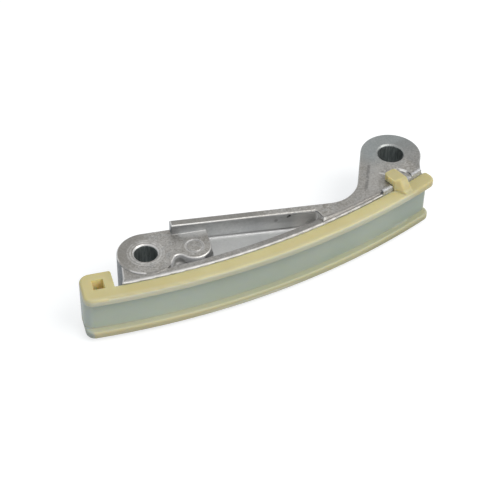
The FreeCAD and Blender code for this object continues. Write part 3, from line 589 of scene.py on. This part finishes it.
def lower_rim_cream_and_shade(nodes, surface):
    """Nylon of the lower rim, darker to the right where the front also gets painted shade, with a
    painted reflection on its front in the middle, and cooler painted shade on the left end face.
    """
    front = surface.where(z=(3.6, 3.0))
    front_reflection = nodes.times(front, surface.where(x=(22.0, 42.0, 16.0)))
    front_right_shade = nodes.times(front, surface.where(x=(78.0, 88.0)))
    return nodes.coats(
        (0.545, 0.50, 0.31),
        (surface.where(x=(-5.0, 50.0)), 1.0, (0.47, 0.455, 0.285)),
        (surface.where(x=(75.0, 100.0)), 1.0, (0.42, 0.405, 0.25)),
        # Painted reflection on the front in the middle
        (front_reflection, 0.6, (0.66, 0.66, 0.54)),
        # Painted shade on the front at the right, dimming its highlight
        (front_right_shade, 0.8, (0.34, 0.325, 0.18)),
        # Cool painted shade on the left end face
        (surface.where(x=(-27.0, -28.3)), 1.0, (0.38, 0.42, 0.385)),
    )


def top_cream(nodes, surface, broad, on_rounding, on_ramp):
    """Nylon of the upper rim, the hook block and the clip finger, with a painted sheen on the rim's
    rounded edge and painted light on the finger's ramp.
    """
    cream = nodes.mix(nodes.ramp(broad, *NOISE_SPAN), (0.565, 0.495, 0.240), (0.600, 0.535, 0.275))
    cream = nodes.mix(darker_cream(nodes, surface), cream, (0.47, 0.415, 0.205))
    near_rim = nodes.ramp(surface.radius, 284.2, 286.0, 0.0, 0.3)
    # Painted sheen on the rim's rounding, its front and the top near the rim
    pale = nodes.largest(on_rounding, surface.where(z=(20.2, 19.6)), near_rim)
    pale = nodes.times(pale, nodes.ramp(surface.x, 99.0, 108.0, 1.0, 0.2))
    by_ramp = nodes.ramp(surface.from_axis(RAMP_PLACE), 7.5, 6.5)
    # Painted light on the finger ramp's facets
    ramp_side_light = nodes.times(by_ramp, surface.where(right=(-0.2, -0.5), z=(20.6, 21.0)))
    ramp_left_light = nodes.times(on_ramp, surface.where(x=(102.0, 100.0)))
    return nodes.coats(
        cream,
        (pale, 1.0, rim_painted_sheen(nodes, surface)),
        (ramp_side_light, 1.0, (0.80, 0.70, 0.34)),
        (ramp_left_light, 1.0, (0.64, 0.55, 0.26)),
    )


def lit_core_hole(nodes, surface):
    """1 in the hook block's core hole, whose walls get painted light."""
    return nodes.times(nodes.ramp(surface.from_axis(CORE_HOLE), 3.6, 3.2), surface.where(z=(20.4, 20.0)))


def track(nodes, surface):
    """1 on the track between the rims and on the left end face between them."""
    facing = nodes.largest(surface.where(radius=(283.2, 283.8)), surface.where(x=(-24.0, -26.0)))
    return nodes.times(surface.where(z=(TRACK_LOW + 1.2, TRACK_HIGH - 0.9, 1.4)), facing)


def track_painted_shade(nodes, surface, broad):
    """Grey-green painted shade on the cream track, paler to the left, darker to the right and cool on
    the end face.
    """
    return nodes.coats(
        nodes.mix(nodes.ramp(broad, *NOISE_SPAN), (0.40, 0.455, 0.385), (0.43, 0.48, 0.41)),
        (surface.where(x=(60.0, -5.0)), 1.0, (0.50, 0.56, 0.48)),
        (surface.where(x=(84.0, 108.0)), 0.8, (0.33, 0.385, 0.34)),
        (surface.where(x=(-26.0, -27.5)), 1.0, (0.53, 0.585, 0.54)),
    )


def shoe_material():
    """Natural nylon: cream rims with a painted sheen, a track in grey-green painted shade, softly
    translucent, with rounded edges.
    """
    material = new_material("natural_nylon")
    nodes = Nodes(material)
    surface = Surface(nodes)
    broad = nodes.noise(surface.place, 0.05, detail=2.0)
    fine = nodes.noise(surface.place, 1.8)
    exact, on_rim = rim_facing(nodes, surface)
    rounded, on_ramp = ramp_facing(nodes, surface)
    on_rounding = nodes.times(nodes.ramp(surface.split(exact)[2], 0.96, 0.55), on_rim)
    base = nodes.coats(
        top_cream(nodes, surface, broad, on_rounding, on_ramp),
        (surface.where(z=(TRACK_LOW + 1.0, TRACK_LOW)), 1.0, lower_rim_cream_and_shade(nodes, surface)),
        # Painted light on the walls of the core hole
        (lit_core_hole(nodes, surface), 1.0, (0.88, 0.77, 0.42)),
        # Grey-green painted shade on the track
        (track(nodes, surface), 1.0, track_painted_shade(nodes, surface, broad)),
    )
    near_ramp = surface.from_axis(RAMP_PLACE)
    normal = nodes.soft_edges(nodes.ramp(near_ramp, 4.5, 3.0, NYLON_EDGE, NYLON_RAMP_EDGE))
    normal = nodes.blend_normals(on_rim, normal, exact)
    normal = nodes.blend_normals(nodes.times(on_ramp, 0.85), normal, rounded)
    shader = nodes.add("ShaderNodeBsdfPrincipled")
    nodes.put(shader.inputs["Base Color"], base)
    nodes.put(shader.inputs["Roughness"], nodes.ramp(fine, 0.3, 0.7, 0.40, 0.50))
    nodes.put(shader.inputs["Specular IOR Level"], 0.5)
    nodes.put(shader.inputs["Subsurface Weight"], 0.7)
    nodes.put(shader.inputs["Subsurface Radius"], (1.0, 0.75, 0.35))
    nodes.put(shader.inputs["Subsurface Scale"], 0.0026)
    nodes.put(shader.inputs["Normal"], nodes.bump(fine, NYLON_GRAIN, 0.35, normal))
    nodes.finish(shader.outputs[0])
    return material


# Studio

def floor_material():
    """White floor that keeps the object's shadow."""
    material = new_material("white_floor")
    nodes = Nodes(material)
    diffuse = nodes.add("ShaderNodeBsdfDiffuse")
    nodes.put(diffuse.inputs["Color"], (0.42, 0.42, 0.42))
    glow = nodes.add("ShaderNodeEmission")
    nodes.put(glow.inputs["Color"], (0.98, 0.99, 1.0))
    nodes.put(glow.inputs["Strength"], nodes.times(nodes.seen_direct(), FLOOR_GLOW))
    both = nodes.add("ShaderNodeAddShader")
    nodes.put(both.inputs[0], diffuse.outputs[0])
    nodes.put(both.inputs[1], glow.outputs[0])
    nodes.finish(both.outputs[0])
    return material


def dress(name, material):
    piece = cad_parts[name]
    piece.data.materials.clear()
    piece.data.materials.append(material)


def add_floor():
    bpy.ops.mesh.primitive_plane_add(size=FLOOR_SIZE, location=FLOOR_PLACE)
    floor = bpy.context.object
    floor.name = "floor"
    floor.data.materials.append(floor_material())


def background(nodes, colour, strength):
    node = nodes.add("ShaderNodeBackground")
    nodes.put(node.inputs["Color"], colour)
    nodes.put(node.inputs["Strength"], strength)
    return node.outputs[0]


def add_world():
    """Soft light all round, which the camera and the metal see as white."""
    world = bpy.data.worlds.new("studio")
    bpy.context.scene.world = world
    world.use_nodes = True
    world.node_tree.nodes.clear()
    nodes = Nodes(world)
    mix = nodes.add("ShaderNodeMixShader")
    nodes.put(mix.inputs[0], nodes.seen_direct())
    nodes.put(mix.inputs[1], background(nodes, (0.95, 0.98, 1.0), WORLD_SOFT))
    nodes.put(mix.inputs[2], background(nodes, (1.0, 1.0, 1.0), WORLD_WHITE))
    output = nodes.add("ShaderNodeOutputWorld")
    nodes.put(output.inputs["Surface"], mix.outputs[0])


def add_key_light():
    data = bpy.data.lights.new("key", "AREA")
    data.shape = "SQUARE"
    data.size = KEY_SIZE
    data.energy = KEY_POWER
    data.color = KEY_COLOUR
    light = bpy.data.objects.new("key", data)
    bpy.context.scene.collection.objects.link(light)
    light.location = KEY_PLACE
    aim = Vector(KEY_TARGET) - Vector(KEY_PLACE)
    light.rotation_euler = aim.to_track_quat("-Z", "Y").to_euler()


def add_camera():
    data = bpy.data.cameras.new("camera")
    data.lens = LENS
    data.sensor_width = SENSOR
    data.clip_start = CLIP_START
    data.clip_end = CLIP_END
    camera = bpy.data.objects.new("camera", data)
    bpy.context.scene.collection.objects.link(camera)
    aim = Vector(TARGET) - Vector(EYE)
    turn = aim.to_track_quat("-Z", "Y").to_matrix().to_4x4()
    roll = Matrix.Rotation(math.radians(ROLL), 4, "Z")
    camera.matrix_world = Matrix.Translation(Vector(EYE)) @ turn @ roll
    bpy.context.scene.camera = camera


dress("cast_bracket", casting_material())
dress("guide_shoe", shoe_material())
add_floor()
add_world()
add_key_light()
add_camera()
bpy.context.scene.view_settings.view_transform = "Standard"
